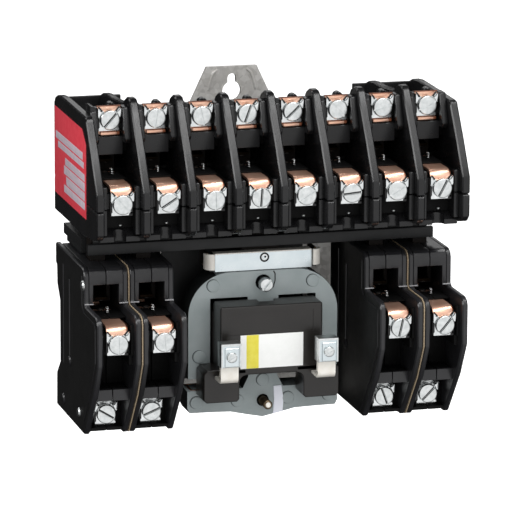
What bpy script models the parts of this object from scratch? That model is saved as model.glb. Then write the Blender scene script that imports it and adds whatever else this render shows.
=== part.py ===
"""Twelve-pole panel-mounted lighting contactor, built as an assembly.

Metres, +Z up, the front faces -Y. The origin is on the rear face of the mounting plate, on the
centre line. Shapes are drawn in millimetres in "front coordinates": x to the right from the centre
line, y backwards from the front edges of the barriers, z upwards from the knee in those edges.
"""
import math

import bpy
import bmesh
from mathutils import Matrix

# ---- driving dimensions, mm ----
MM = 0.001
DEPTH = 87.0            # rear face of the mounting plate to the front edges of the barriers
KNEE = 36.0             # origin up to the knee in the barriers
GAP = 0.3               # clearance between touching pieces

PITCH = 19.05           # pole to pole, 3/4 in
POLES = 8
BARRIER_T = 3.3
HALF_WIDTH = POLES / 2 * PITCH + BARRIER_T / 2
SPLIT_Z = -7.0          # parting line between block base and block cover

SCREW_HEAD_R = 4.05
CLAMP_W, CLAMP_H = 9.3, 9.6
STRIP_T = 1.2
STRIP_HALF = 4.2        # half width of a terminal strip at its screw
TAIL_HALF = 3.0         # half width of its inner end

TRAVEL = 4.6            # carrier stroke
CONTACT_GAP = 3.2       # stroke until the contacts touch
RUN_BLOCK = 2.5         # top of the fixed contact strips in the block
RUN_MODULE = -54.8      # the same in the side modules
SCREW_DROP = 7.0        # strip's top down to the screw at its front end
SHOULDER_R = 4.0        # outer bend of a front strip
POST_Y = (38.0, 46.0)   # carrier posts, front and back
BRIDGE_Y = (32.0, 52.0)

MODULE_HALF = 9.15      # half width of one side module
MODULE_SHEET_X = 59.1   # insulating sheet between two modules
MODULE_X = (-68.6, -49.6, 49.6, 68.6)
STACK_Y = (33.4, 46.4)  # magnet laminations, front and back
TOP_SCREW_Z = -47.0     # armature screw
TOP_SCREW_R = 2.8

# ---- outlines in (y, z), front coordinates ----
BARRIER_FRONT = [(0, SPLIT_Z), (0, 0), (9.2, 14.4), (17.6, 26.2)]
REAR_EAR = [(56, 28.7), (64, 28.7), (71, 27.9), (75, 26.5), (77.3, 24)]
KNOB = [(23.2, 33), (25, 34), (29, 34.2), (33, 32.4)]
END_TOP = [(18.4, 27.8), (20.5, 28.3)] + REAR_EAR
NEXT_TOP = KNOB + [(36, 30.2)] + REAR_EAR
MID_TOP = KNOB + [(35.2, 29.5), (36, 24.3), (60, 23.2), (77.3, 16.5)]
BARRIER_TOPS = [END_TOP, NEXT_TOP] + [MID_TOP] * (POLES - 3) + [NEXT_TOP, END_TOP]
CHEEK = [(24.4, 30.6), (19.6, 18.6), (21, 16.5), (31, 16.5), (31, 30.6)]
MODULE_SIDE = [(0, -70), (0, -53.6), (1.0, -51.6), (3.8, -50.3), (21.7, -50.3), (23.5, -49.2),
               (23.5, -38.4), (24.6, -36.2), (27, -35), (76, -35), (76, -43.4), (74, -44.6),
               (73.6, -52), (68.5, -58), (68.5, -84), (75, -90), (75.5, -104.5), (25.5, -104.5),
               (24, -104), (8.2, -84.5)]


# ---- scene helpers ----
def clear_scene():
    for obj in list(bpy.data.objects):
        bpy.data.objects.remove(obj, do_unlink=True)


def new_collection(name):
    coll = bpy.data.collections.new(name)
    bpy.context.scene.collection.children.link(coll)
    return coll


def material(name, colour, roughness, metallic=0.0):
    mat = bpy.data.materials.new(name)
    mat.use_nodes = True
    bsdf = mat.node_tree.nodes["Principled BSDF"]
    bsdf.inputs["Base Color"].default_value = (*colour, 1.0)
    bsdf.inputs["Roughness"].default_value = roughness
    bsdf.inputs["Metallic"].default_value = metallic
    return mat


def at(x, y, z):
    """Front coordinates in mm to world metres."""
    return (x * MM, (y - DEPTH) * MM, (z + KNEE) * MM)


def link_mesh(name, mesh):
    obj = bpy.data.objects.new(name, mesh)
    work.objects.link(obj)
    return obj


def box(x, y, z):
    """Block between the pairs x, y and z."""
    bm = bmesh.new()
    bmesh.ops.create_cube(bm, size=1.0)
    size = [(b - a) * MM for a, b in (sorted(x), sorted(y), sorted(z))]
    bmesh.ops.scale(bm, vec=size, verts=bm.verts)
    mesh = bpy.data.meshes.new("block")
    bm.to_mesh(mesh)
    bm.free()
    obj = link_mesh("block", mesh)
    obj.location = at(sum(x) / 2, sum(y) / 2, sum(z) / 2)
    return obj


def cylinder(x, y, z, radius, axis="Y", sides=20):
    """Cylinder along Y or Z; the pair gives its two ends, the other two its axis."""
    ends = sorted(y if axis == "Y" else z)
    bm = bmesh.new()
    bmesh.ops.create_cone(bm, cap_ends=True, segments=sides, radius1=radius * MM,
                          radius2=radius * MM, depth=(ends[1] - ends[0]) * MM)
    mesh = bpy.data.meshes.new("rod")
    bm.to_mesh(mesh)
    bm.free()
    obj = link_mesh("rod", mesh)
    middle = sum(ends) / 2
    if axis == "Y":
        obj.rotation_euler = (math.pi / 2, 0, 0)
        obj.location = at(x, middle, z)
    else:
        obj.location = at(x, y, middle)
    return obj


def extrude(points, low, high, axis):
    """Flat outline pushed along an axis: (y, z) points for X, (x, z) for Y, (x, y) for Z."""
    curve = bpy.data.curves.new("outline", "CURVE")
    curve.dimensions = "2D"
    curve.fill_mode = "BOTH"
    curve.extrude = abs(high - low) / 2 * MM
    spline = curve.splines.new("POLY")
    spline.points.add(len(points) - 1)
    for point, (a, b) in zip(spline.points, points):
        point.co = (a * MM, b * MM, 0, 1)
    spline.use_cyclic_u = True
    obj = bpy.data.objects.new("outline", curve)
    work.objects.link(obj)
    middle = (low + high) / 2
    turn = {"X": Matrix(((0, 0, 1), (1, 0, 0), (0, 1, 0))),
            "Y": Matrix(((1, 0, 0), (0, 0, -1), (0, 1, 0))),
            "Z": Matrix.Identity(3)}[axis]
    start = {"X": at(middle, 0, 0), "Y": at(0, middle, 0), "Z": at(0, 0, middle)}[axis]
    obj.matrix_world = Matrix.Translation(start) @ turn.to_4x4()
    return curve_to_mesh(obj)


def curve_to_mesh(obj):
    bpy.context.view_layer.update()
    mesh = bpy.data.meshes.new_from_object(obj.evaluated_get(bpy.context.evaluated_depsgraph_get()))
    bm = bmesh.new()
    bm.from_mesh(mesh)
    bmesh.ops.remove_doubles(bm, verts=bm.verts, dist=0.000001)
    bmesh.ops.recalc_face_normals(bm, faces=bm.faces)
    bm.to_mesh(mesh)
    bm.free()
    solid = link_mesh(obj.name, mesh)
    solid.matrix_world = obj.matrix_world.copy()
    curve = obj.data
    bpy.data.objects.remove(obj, do_unlink=True)
    bpy.data.curves.remove(curve)
    return solid


def merge(objects, name):
    """One object holding the meshes of several, in world space."""
    bpy.context.view_layer.update()
    bm = bmesh.new()
    for obj in objects:
        mesh = obj.data.copy()
        mesh.transform(obj.matrix_world)
        bm.from_mesh(mesh)
        bpy.data.meshes.remove(mesh)
        bpy.data.objects.remove(obj, do_unlink=True)
    mesh = bpy.data.meshes.new(name)
    bm.to_mesh(mesh)
    bm.free()
    obj = bpy.data.objects.new(name, mesh)
    cutters.objects.link(obj)
    obj.hide_render = True
    obj.display_type = "WIRE"
    return obj


def boolean(obj, tool, operation):
    mod = obj.modifiers.new(operation.lower(), "BOOLEAN")
    mod.operation = operation
    mod.object = tool
    mod.solver = "EXACT"
    mod.use_self = True


def piece(name, mat, body, adds=(), cuts=()):
    """Named sub-part: a body, united with its additions, less its cut-outs."""
    work.objects.unlink(body)
    parts.objects.link(body)
    body.name = name
    body.data.name = name
    body.data.materials.append(mat)
    if adds:
        boolean(body, merge(adds, name + "_adds"), "UNION")
    if cuts:
        boolean(body, merge(cuts, name + "_cuts"), "DIFFERENCE")
    return body


def ribbon(path, thickness):
    """Closed outline of a strip whose one side runs along the path; the metal lies on its right."""
    offset = []
    for i, (a, b) in enumerate(path):
        before = path[max(i - 1, 0)]
        after = path[min(i + 1, len(path) - 1)]
        d1 = unit(a - before[0], b - before[1]) if i else None
        d2 = unit(after[0] - a, after[1] - b) if i < len(path) - 1 else None
        d1, d2 = d1 or d2, d2 or d1
        nx, nz = (d1[1] + d2[1]) / 2, -(d1[0] + d2[0]) / 2
        scale = thickness / max(nx * nx + nz * nz, 0.2)
        offset.append((a + nx * scale, b + nz * scale))
    return path + offset[::-1]


def unit(a, b):
    length = math.hypot(a, b)
    return (a / length, b / length)


def arc(cx, cz, radius, start, end, steps):
    """Points on an arc, angles in degrees from +x."""
    angles = [math.radians(start + (end - start) * i / steps) for i in range(steps + 1)]
    return [(cx + radius * math.cos(t), cz + radius * math.sin(t)) for t in angles]


def pole_x(i):
    return (i - (POLES - 1) / 2) * PITCH


def barrier_x(i):
    return (i - POLES / 2) * PITCH


# ---- mounting plate and base frame ----
def mounting_plate():
    tab = [(-10.8, 34), (-36.8, -21), (-36.8, -103), (36.8, -103), (36.8, -21), (10.8, 34)]
    web = box((-36.8, 36.8), (61, 62.6), (-103, -34))
    flanges = [box((s * 35.2, s * 36.8), (62, 85), (-103, -34)) for s in (-1, 1)]
    keyhole = [cylinder(0, (80, 90), 23.6, 4.1), cylinder(0, (80, 90), 29.1, 1.9, sides=16),
               box((-1.9, 1.9), (80, 90), (23.6, 29.1))]
    feet = [box((s * 22.8, s * 27.2), (80, 90), (-110, -96)) for s in (-1, 1)]
    piece("mounting_plate", steel, extrude(tab, 84.6, DEPTH, "Y"), [web] + flanges,
          keyhole + feet)


def base_frame():
    """Flanged moulding that carries the block above and hangs the modules below."""
    plate = box((-73.5, 73.5), (35, 80), (-32.3, -27.8))
    adds = [box((-60, 60), (78.3, 84.3), (-33, 10))]
    adds += [box((s * 16, s * 71), (37, 77), (-28, -22)) for s in (-1, 1)]
    adds += [box((s * 41, s * 73), (50, 76), (-34.7, -32)) for s in (-1, 1)]
    adds += [box((s * 37.6, s * 60), (78.3, 84.3), (-72, -28)) for s in (-1, 1)]
    cuts = [box((x - 5.6, x + 5.6), (37.2, 46.8), (-40, -20)) for x in MODULE_X]
    cuts += [box((-8.8, 8.8), (37.2, 46.8), (-40, -20))]
    piece("base_frame", frame_black, plate, adds, cuts)


# ---- upper block ----
def block_cover():
    """Upper moulding: barriers, upper terminal seats and the roof over the contacts."""
    floor = SPLIT_Z + GAP / 2
    front = [(0, floor)] + BARRIER_FRONT[1:]
    walls = []
    for i, top in enumerate(BARRIER_TOPS):
        x = barrier_x(i)
        walls.append(extrude(front + top + [(77.3, floor)], x - BARRIER_T / 2,
                             x + BARRIER_T / 2, "X"))
    roof = [(33, 20.9), (59, 20.9), (77.2, 13.5), (77.2, 16.3), (59.5, 22.6), (33, 22.6)]
    inner = HALF_WIDTH - 1
    adds = walls[1:] + [extrude(roof, -inner, inner, "X"),
                        box((-inner, inner), (73.5, 77.2), (floor, 15.5))]
    adds += [box((s * 50, s * inner), (75, 77.2), (12, 26)) for s in (-1, 1)]
    cuts = [box((-74.3, 74.3), (37.4, 46.6), (-7.5, -4.4))]
    for i in range(POLES):
        x = pole_x(i)
        wide = (x - 8.2, x + 8.2)
        seat = (x - 5.5, x + 5.5)
        adds += [box(wide, (6.7, 36), (floor, -0.8)), box(wide, (9, 36), (-1, 1)),
                 box(wide, (48, 56.5), (floor, 1)),
                 box(seat, (24.5, 34), (11.4, 19)), box(wide, (29, 33.9), (12, 18.9)),
                 box(seat, (28.6, 33.2), (20.8, 30)), box(wide, (30, 33.1), (20.8, 27))]
        for s in (-1, 1):
            rib = (x + s * 5.7, x + s * 7.95)
            cheek = sorted((x + s * 5.2, x + s * 7.95))
            adds += [box(rib, (4.6, 8), (floor, 2.2)), extrude(CHEEK, *cheek, "X")]
        cuts += [box((x - 2.4, x + 2.4), (6, 11.5), (-7.2, -2.4)),
                 box((x - 2.4, x + 2.4), (28, 32), (23.4, 28.4))]
    piece("block_cover", black, walls[0], adds, cuts)


def block_base():
    """Lower moulding: floor, lower halves of the barriers and the pockets under the terminals."""
    top = SPLIT_Z - GAP / 2
    side = [(0, top), (77.3, top), (77.3, -21.4), (24, -21.2), (8, -19.9), (2.6, -18.8),
            (0, -16.4)]
    inner = HALF_WIDTH - 1
    walls = [extrude(side, barrier_x(i) - BARRIER_T / 2, barrier_x(i) + BARRIER_T / 2, "X")
             for i in range(POLES + 1)]
    adds = walls[1:] + [box((-inner, inner), (9, 77.2), (-21.2, -18)),
                        box((-inner, inner), (73.5, 77.2), (-21, top))]
    cuts = [box((-74.3, 74.3), (37.4, 46.6), (-17.3, -6)),
            box((-5.6, 5.6), (46, 57.1), (-17.3, -6)),
            box((-8.8, 8.8), (37.4, 46.6), (-24, -12)),
            cylinder(0, 51.5, (-24, -12), 4.4, "Z")]
    cuts += [box((x - 5.6, x + 5.6), (37.4, 46.6), (-24, -12)) for x in MODULE_X]
    for i in range(POLES):
        x = pole_x(i)
        wide = (x - 8.2, x + 8.2)
        adds += [box(wide, (12, 14.5), (-18.5, top)), box(wide, (7.5, 12.2), (-20.6, -16.2))]
        adds += [box((x + s * 5.7, x + s * 7.95), (4.6, 12.2), (-17.6, top)) for s in (-1, 1)]
        cuts.append(cylinder(x, 8.2, (-23, -15), 2.8, "Z", sides=16))
        cuts.append(box((x - 2.4, x + 2.4), (6, 11.5), (-8, -6)))
    piece("block_base", black, walls[0], adds, cuts)


# ---- terminals and moving contacts ----
def front_terminal(name, x, run):
    """Terminal at the front edge: its strip turns back over the shoulder to a contact."""
    shoulder = arc(5 + SHOULDER_R, run - SHOULDER_R, SHOULDER_R, 180, 90, 6)
    path = [(5, run - 12.2)] + shoulder + [(36, run)]
    strip = extrude(ribbon(path, STRIP_T), x - STRIP_HALF, x + STRIP_HALF, "X")
    centre = run - SCREW_DROP
    adds = [box((x - 2.5, x + 2.5), (32.8, 35.2), (run - 0.3, run + 0.8)),
            box((x - CLAMP_W / 2, x + CLAMP_W / 2), (3.6, 5.3),
                (centre - CLAMP_H / 2, centre + CLAMP_H / 2)),
            cylinder(x, (1.4, 3.8), centre, SCREW_HEAD_R, sides=16),
            cylinder(x, (5.2, 10.8), centre, 1.9, sides=8)]
    piece(name, copper, strip, adds)


def rear_terminal(name, x, run, shelf, up):
    """Recessed terminal: its strip runs back along the shelf and turns to the rear contact."""
    s = 1 if up else -1
    back = shelf + s * STRIP_T
    tip = shelf + s * 11.8
    if up:
        outline = [(27, tip), (27, shelf), (57, shelf), (57, run), (48, run),
                   (48, run - STRIP_T), (58.2, run - STRIP_T), (58.2, back), (28.2, back),
                   (28.2, tip)]
    else:
        outline = [(27, tip), (28.2, tip), (28.2, back), (58.2, back), (58.2, run), (48, run),
                   (48, run - STRIP_T), (57, run - STRIP_T), (57, shelf), (27, shelf)]
    strip = extrude(outline, x - TAIL_HALF, x + TAIL_HALF, "X")
    centre = shelf + s * 6.4
    adds = [box((x - STRIP_HALF, x + STRIP_HALF), (27, 28.2), (back, tip)),
            box((x - 2.5, x + 2.5), (48.8, 51.2), (run - 0.3, run + 0.8)),
            box((x - CLAMP_W / 2, x + CLAMP_W / 2), (25.6, 27.3),
                (centre - CLAMP_H / 2, centre + CLAMP_H / 2)),
            cylinder(x, (23.4, 25.8), centre, SCREW_HEAD_R, sides=16),
            cylinder(x, (27.9, 31.6), centre, 1.9, sides=8)]
    piece(name, copper, strip, adds)


def bridge(name, x, run):
    low = run + 0.8 + CONTACT_GAP
    bar = box((x - 2.9, x + 2.9), BRIDGE_Y, (low + 0.6, low + 1.8))
    buttons = [box((x - 2.3, x + 2.3), (y - 1.2, y + 1.2), (low, low + 0.8)) for y in (34, 50)]
    piece(name, brass, bar, buttons)


def terminals_and_bridges():
    for i in range(POLES):
        x = pole_x(i)
        front_terminal("pole_%d_lower_terminal" % (i + 1), x, RUN_BLOCK)
        rear_terminal("pole_%d_upper_terminal" % (i + 1), x, RUN_BLOCK, 19.3, True)
        bridge("pole_%d_bridge" % (i + 1), x, RUN_BLOCK)
    for i, x in enumerate(MODULE_X):
        front_terminal("module_%d_upper_terminal" % (i + 1), x, RUN_MODULE)
        rear_terminal("module_%d_lower_terminal" % (i + 1), x, RUN_MODULE, -89.7, False)
        bridge("module_%d_bridge" % (i + 1), x, RUN_MODULE)


# ---- side modules ----
def half_shell(name, x, s):
    """One half of a module's case; s is +1 for the right half and -1 for the left."""
    def local(a, b):
        return (x + s * a, x + s * b)

    def inner(y, z, low=GAP / 2):
        return box(local(low, 7), y, z)

    wall = extrude(MODULE_SIDE, x + s * 6.85, x + s * MODULE_HALF, "X")
    adds = [inner((23.5, 26.5), (-42, -35.8)), inner((23.5, 26.5), (-49.9, -41.5), 5.35),
            inner((26, 73), (-38, -35.1)), inner((65.5, 68.3), (-103, -37)),
            inner((6.7, 12), (-66.8, -58.1)), inner((11.5, 36), (-60.5, -56.3)),
            inner((4.6, 7), (-67.4, -55), 5.7), inner((48, 56.5), (-62, -56.3)),
            inner((24, 26), (-84.5, -60)), inner((12.5, 15), (-87.7, -83)),
            inner((14.5, 25.5), (-85, -83)), inner((28.6, 33), (-103, -91.3)),
            inner((23.6, 66), (-103, -101.6))]
    cuts = [box(local(-1, 3.5), (37.4, 46.6), (-39, -34)),
            box(local(-1, 2.4), (6, 11.5), (-64.6, -59)),
            box(local(-1, 2.4), (28, 32), (-99, -93.2))]
    piece(name, black, wall, adds, cuts)


def modules():
    for i, x in enumerate(MODULE_X):
        half_shell("module_%d_left_shell" % (i + 1), x, -1)
        half_shell("module_%d_right_shell" % (i + 1), x, 1)
    for side, s in (("left", -1), ("right", 1)):
        piece("insulating_sheet_" + side, fibre,
              extrude(MODULE_SIDE, s * MODULE_SHEET_X - 0.2, s * MODULE_SHEET_X + 0.2, "X"))


# ---- moving carrier ----
def contact_carrier():
    beam = box((-73.5, 73.5), POST_Y, (-12, -5))
    adds = [box((-8, 8), (38.1, 45.9), (-41.4, -11)), box((-5, 5), (45, 56.5), (-12, -8.5))]
    cuts = []
    sill = RUN_BLOCK + 0.8 + CONTACT_GAP + 0.6 - GAP
    for i in range(POLES):
        x = pole_x(i)
        adds.append(box((x - 5, x + 5), (38.1, 45.9), (-6, sill + 9.3)))
        cuts.append(box((x - 3.4, x + 3.4), (36, 48), (sill, sill + 7.6)))
    sill = RUN_MODULE + 0.8 + CONTACT_GAP + 0.6 - GAP
    for x in MODULE_X:
        adds.append(box((x - 3, x + 3), (38.2, 45.8), (sill + 8.5, -11)))
        adds.append(box((x - 5, x + 5), (38.1, 45.9), (sill - 1.6, sill + 8.8)))
        cuts.append(box((x - 3.4, x + 3.4), (36, 48), (sill, sill + 7.5)))
    piece("contact_carrier", carrier_brown, beam, adds, cuts)


def return_spring():
    turns, points, wire = 4, 10, 0.45
    low, high, radius = -27.5 + wire, -12.3 - wire, 3.2
    curve = bpy.data.curves.new("return_spring", "CURVE")
    curve.dimensions = "3D"
    curve.bevel_depth = wire * MM
    curve.bevel_resolution = 1
    curve.use_fill_caps = True
    spline = curve.splines.new("POLY")
    count = turns * points + 1
    spline.points.add(count - 1)
    for i, point in enumerate(spline.points):
        angle = 2 * math.pi * i / points
        height = low + (high - low) * i / (count - 1)
        point.co = (radius * math.cos(angle) * MM, radius * math.sin(angle) * MM,
                    height * MM, 1)
    obj = bpy.data.objects.new("return_spring", curve)
    work.objects.link(obj)
    obj.location = at(0, 51.5, 0)
    piece("return_spring", spring_steel, curve_to_mesh(obj))


# ---- magnet ----
def rivets(places):
    return [cylinder(x, (32.9, 34), z, 2.6, sides=16) for x, z in places]


def armature():
    """Upper E of laminations, pulled down on to the core by the coil."""
    outer = arc(-13.85, -60, 18, 180, 90, 6) + arc(13.85, -60, 18, 90, 0, 6)
    inner = [(31.85, -86.4), (22.4, -86.4), (22.4, -52.8), (6.6, -52.8), (6.6, -67), (-6.6, -67),
             (-6.6, -52.8), (-22.4, -52.8), (-22.4, -86.4), (-31.85, -86.4)]
    stack = extrude(outer + inner, *STACK_Y, "Y")
    piece("armature", lamination, stack,
          rivets([(-21.2, -47.4), (21.2, -47.4), (-27.2, -77), (27.2, -77)]),
          [cylinder(0, (30, 50), TOP_SCREW_Z, TOP_SCREW_R + 0.4, sides=20)])


def magnet_core():
    """Lower E of laminations, fixed to the mounting plate's bracket."""
    half = [(6.2, -72), (6.2, -86.4), (8.6, -91.4), (32.2, -91.4), (32.2, -98.6), (31.2, -100.8),
            (13.6, -101.2), (0, -104.1)]
    outline = half + [(-x, z) for x, z in reversed(half[:-1])]
    stack = extrude(outline, *STACK_Y, "Y")
    piece("magnet_core", lamination, stack,
          rivets([(-28.3, -96.4), (28.3, -96.4), (-10.8, -96.6), (10.8, -96.6), (0, -88.3)]),
          [cylinder(0, (30, 50), -97, 2.4, sides=20)])


def core_stud():
    piece("core_stud", zinc, cylinder(0, (24.6, 60.7), -97, 1.9, sides=20))


def armature_clip():
    """Sprung bracket round the carrier's foot, on top of the armature."""
    right = [(24.2, 47), (24.2, 37)] + arc(20.7, 36.5, 3.5, 0, -90, 4)
    path = right + [(-x, y) for x, y in reversed(right)]
    piece("armature_clip", zinc, extrude(ribbon(path, -1.2), -41.7, -33.9, "Z"))


def armature_screw():
    piece("armature_screw", zinc, cylinder(0, (27.5, 31), TOP_SCREW_Z, TOP_SCREW_R, sides=24),
          [cylinder(0, (30.5, 50), TOP_SCREW_Z, 1.9, sides=16)])


def coil():
    """Moulded coil: front wall with two feet, and the winding round the centre legs."""
    front = box((-21.6, 21.6), (19.5, 32.5), (-82.4, -53.4))
    adds = [box((s * 13.3, s * 28.7), (19.5, 32.5), (-92.5, -79.2)) for s in (-1, 1)]
    adds += [box((-21.6, 21.6), (32, 60.3), (-84, -57.8))]
    relief = (TOP_SCREW_Z - TOP_SCREW_R - TRAVEL - 0.8, -50)    # room for the armature's screw
    cuts = [box((-7.2, 7.2), (33.1, 46.8), (-95, -50)), box((-7, 7), (30.5, 47), relief),
            box((-3.6, 3.6), (26.8, 31), relief)]
    piece("coil", coil_black, front, adds, cuts)


def coil_terminal(name, x):
    path = [(9.2, -65.8), (9.2, -80.6), (10.2, -82.2), (12.2, -83), (19.2, -83)]
    strip = extrude(ribbon(path, -STRIP_T), x - 3.7, x + 3.7, "X")
    adds = [box((x - 4.15, x + 4.15), (7, 13), (-75.7, -65.6)),
            cylinder(x, (5.3, 7.4), -70.9, 3.3, sides=20)]
    piece(name, zinc, strip, adds)


def build():
    mounting_plate()
    base_frame()
    block_cover()
    block_base()
    terminals_and_bridges()
    modules()
    contact_carrier()
    return_spring()
    armature()
    magnet_core()
    core_stud()
    armature_clip()
    armature_screw()
    coil()
    coil_terminal("coil_terminal_left", -20.5)
    coil_terminal("coil_terminal_right", 20.5)


clear_scene()
parts = new_collection("lighting_contactor")
cutters = new_collection("cutters")
work = new_collection("work")

steel = material("galvanised_steel", (0.55, 0.55, 0.53), 0.45, 1.0)
frame_black = material("frame_phenolic", (0.035, 0.036, 0.038), 0.55)
black = material("black_phenolic", (0.02, 0.02, 0.021), 0.4)
copper = material("copper", (0.8, 0.42, 0.3), 0.3, 1.0)
brass = material("brass", (0.7, 0.5, 0.25), 0.35, 1.0)
fibre = material("vulcanised_fibre", (0.42, 0.3, 0.17), 0.8)
carrier_brown = material("carrier_moulding", (0.03, 0.02, 0.018), 0.5)
spring_steel = material("spring_steel", (0.6, 0.6, 0.6), 0.3, 1.0)
lamination = material("lamination_paint", (0.25, 0.29, 0.29), 0.5)
zinc = material("zinc_plate", (0.75, 0.77, 0.78), 0.25, 1.0)
coil_black = material("coil_moulding", (0.025, 0.023, 0.022), 0.35)

build()
bpy.data.collections.remove(work)
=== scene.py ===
"""Looks of the twelve-pole lighting contactor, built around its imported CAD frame.

Shapes are drawn in millimetres in the part's front coordinates: x to the right from the centre
line, y backwards from the front edges of the barriers, z upwards from the knee in those edges.
"""
import math

import bmesh
import bpy
from mathutils import Matrix, Vector


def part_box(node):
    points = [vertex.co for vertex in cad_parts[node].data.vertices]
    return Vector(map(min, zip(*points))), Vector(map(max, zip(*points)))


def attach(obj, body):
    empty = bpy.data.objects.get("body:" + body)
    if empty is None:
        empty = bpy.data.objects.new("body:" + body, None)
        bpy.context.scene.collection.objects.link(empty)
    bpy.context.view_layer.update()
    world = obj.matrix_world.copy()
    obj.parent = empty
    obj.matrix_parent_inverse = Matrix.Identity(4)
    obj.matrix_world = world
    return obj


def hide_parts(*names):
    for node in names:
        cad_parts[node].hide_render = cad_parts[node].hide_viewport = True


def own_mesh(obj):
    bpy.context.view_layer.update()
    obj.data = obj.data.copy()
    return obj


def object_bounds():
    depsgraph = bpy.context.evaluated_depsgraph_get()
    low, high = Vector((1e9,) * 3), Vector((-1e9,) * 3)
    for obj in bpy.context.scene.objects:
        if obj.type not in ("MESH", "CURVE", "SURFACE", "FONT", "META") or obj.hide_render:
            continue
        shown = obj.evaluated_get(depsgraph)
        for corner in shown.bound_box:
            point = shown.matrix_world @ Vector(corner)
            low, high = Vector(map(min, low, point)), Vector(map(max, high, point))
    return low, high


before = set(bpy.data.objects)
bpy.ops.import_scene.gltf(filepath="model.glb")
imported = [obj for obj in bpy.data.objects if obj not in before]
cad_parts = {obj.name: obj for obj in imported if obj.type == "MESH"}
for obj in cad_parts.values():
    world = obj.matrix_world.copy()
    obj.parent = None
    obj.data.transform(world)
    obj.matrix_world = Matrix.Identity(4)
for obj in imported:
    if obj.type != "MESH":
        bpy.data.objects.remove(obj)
cad_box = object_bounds()

MM = 0.001
SPLIT = 7.15            # knee down to the top of the block base
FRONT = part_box("block_base")[0].y
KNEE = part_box("block_base")[1].z + SPLIT * MM
PITCH = 19.05
POLES = 8
BLOCK_HALF = POLES / 2 * PITCH
BARRIER_T = 3.3
MODULES = 4
MODULE_HALF = 9.15
RUN_BLOCK = 2.5         # top of the fixed contact strips in the block
RUN_MODULE = -54.8      # the same in the side modules
SCREW_DROP = 7.0        # strip's top down to the screw at its front end
SHOULDER_R = 4.0        # outer bend of a front strip
BLOCK_SHELF = 19.3      # under the upper strips of the block
MODULE_SHELF = -89.7    # over the lower strips of the modules
STRIP_T = 1.2           # copper strips: thickness, then half widths at the screw and the contact
STRIP_HALF = 4.2
CONTACT_HALF = 3
BARRIER_BACK = 77.1
BAY_HALF = 8.2          # from a pole's centre to just inside its barriers
CARRIER_Y = (37.3, 46.7)    # shafts for the carrier, front to back
FINGER_HALF = 5.6
FOOT_HALF = 8.8
SPRING_Y = 51.5         # return spring: place, ends and room around it
SPRING_Z = (-27.5, -12.3)
SPRING_ROOM = 4.4
STACK_Y = (33.4, 46.4)  # lamination stacks, front to back
DRILL_Y = (30, 50)
ARMATURE_SCREW_Z = -47
STUD_Z = -97
COIL_HALF = 21.6


def at(x, y, z):
    """Front coordinates in mm to world metres."""
    return Vector((x * MM, FRONT + y * MM, KNEE + z * MM))


def centre_x(node):
    low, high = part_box(node)
    return (low.x + high.x) / 2 / MM


# ---------------------------------------------------------------- materials
def new_material(name):
    mat = bpy.data.materials.new(name)
    mat.use_nodes = True
    tree = mat.node_tree
    return mat, tree, tree.nodes["Principled BSDF"]


def node(tree, kind, **values):
    item = tree.nodes.new(kind)
    for key, value in values.items():
        if key in item.inputs:
            item.inputs[key].default_value = value
        else:
            setattr(item, key, value)
    return item


def coords(tree, scale=(1, 1, 1)):
    place = node(tree, "ShaderNodeTexCoord")
    mapping = node(tree, "ShaderNodeMapping")
    mapping.inputs["Scale"].default_value = scale
    tree.links.new(place.outputs["Object"], mapping.inputs["Vector"])
    return mapping.outputs["Vector"]


def ramp(tree, fac, stops):
    item = node(tree, "ShaderNodeValToRGB")
    elements = item.color_ramp.elements
    while len(elements) < len(stops):
        elements.new(0.5)
    for element, (pos, colour) in zip(elements, stops):
        element.position = pos
        element.color = (*colour, 1)
    tree.links.new(fac, item.inputs["Fac"])
    return item.outputs["Color"]


def spread(tree, fac, low, high):
    item = node(tree, "ShaderNodeMapRange")
    item.inputs["To Min"].default_value = low
    item.inputs["To Max"].default_value = high
    tree.links.new(fac, item.inputs["Value"])
    return item.outputs["Result"]


def bump(tree, bsdf, height, strength, distance):
    item = node(tree, "ShaderNodeBump")
    item.inputs["Strength"].default_value = strength
    item.inputs["Distance"].default_value = distance
    tree.links.new(height, item.inputs["Height"])
    tree.links.new(item.outputs["Normal"], bsdf.inputs["Normal"])


def noise(tree, vector, scale, detail=4.0, rough=0.55):
    item = node(tree, "ShaderNodeTexNoise", Scale=scale, Detail=detail, Roughness=rough)
    tree.links.new(vector, item.inputs["Vector"])
    return item.outputs["Fac"]


def plastic(name, dark, light, rough, grain=0.25, specular=0.5):
    """Moulded phenolic: faint flow mottling, uneven gloss and a fine grain."""
    mat, tree, bsdf = new_material(name)
    where = coords(tree)
    flow = noise(tree, where, 90, 5)
    tree.links.new(ramp(tree, flow, [(0.3, dark), (0.75, light)]), bsdf.inputs["Base Color"])
    haze = noise(tree, where, 260, 3)
    tree.links.new(spread(tree, haze, rough[0], rough[1]), bsdf.inputs["Roughness"])
    bump(tree, bsdf, noise(tree, where, 2600, 3, 0.7), grain, 0.00006)
    bsdf.inputs["Specular IOR Level"].default_value = specular
    return mat


def metal(name, dark, light, rough, scale, metallic=1.0, grain=0.2):
    """Plated or drawn metal: patches of tone, uneven polish and fine scratches."""
    mat, tree, bsdf = new_material(name)
    where = coords(tree)
    patch = noise(tree, where, scale, 5, 0.6)
    tree.links.new(ramp(tree, patch, [(0.3, dark), (0.7, light)]), bsdf.inputs["Base Color"])
    tree.links.new(spread(tree, noise(tree, where, scale * 3, 4), rough[0], rough[1]),
                   bsdf.inputs["Roughness"])
    if grain:
        bump(tree, bsdf, noise(tree, where, scale * 6, 4, 0.7), grain, 0.00005)
    bsdf.inputs["Metallic"].default_value = metallic
    return mat


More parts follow.
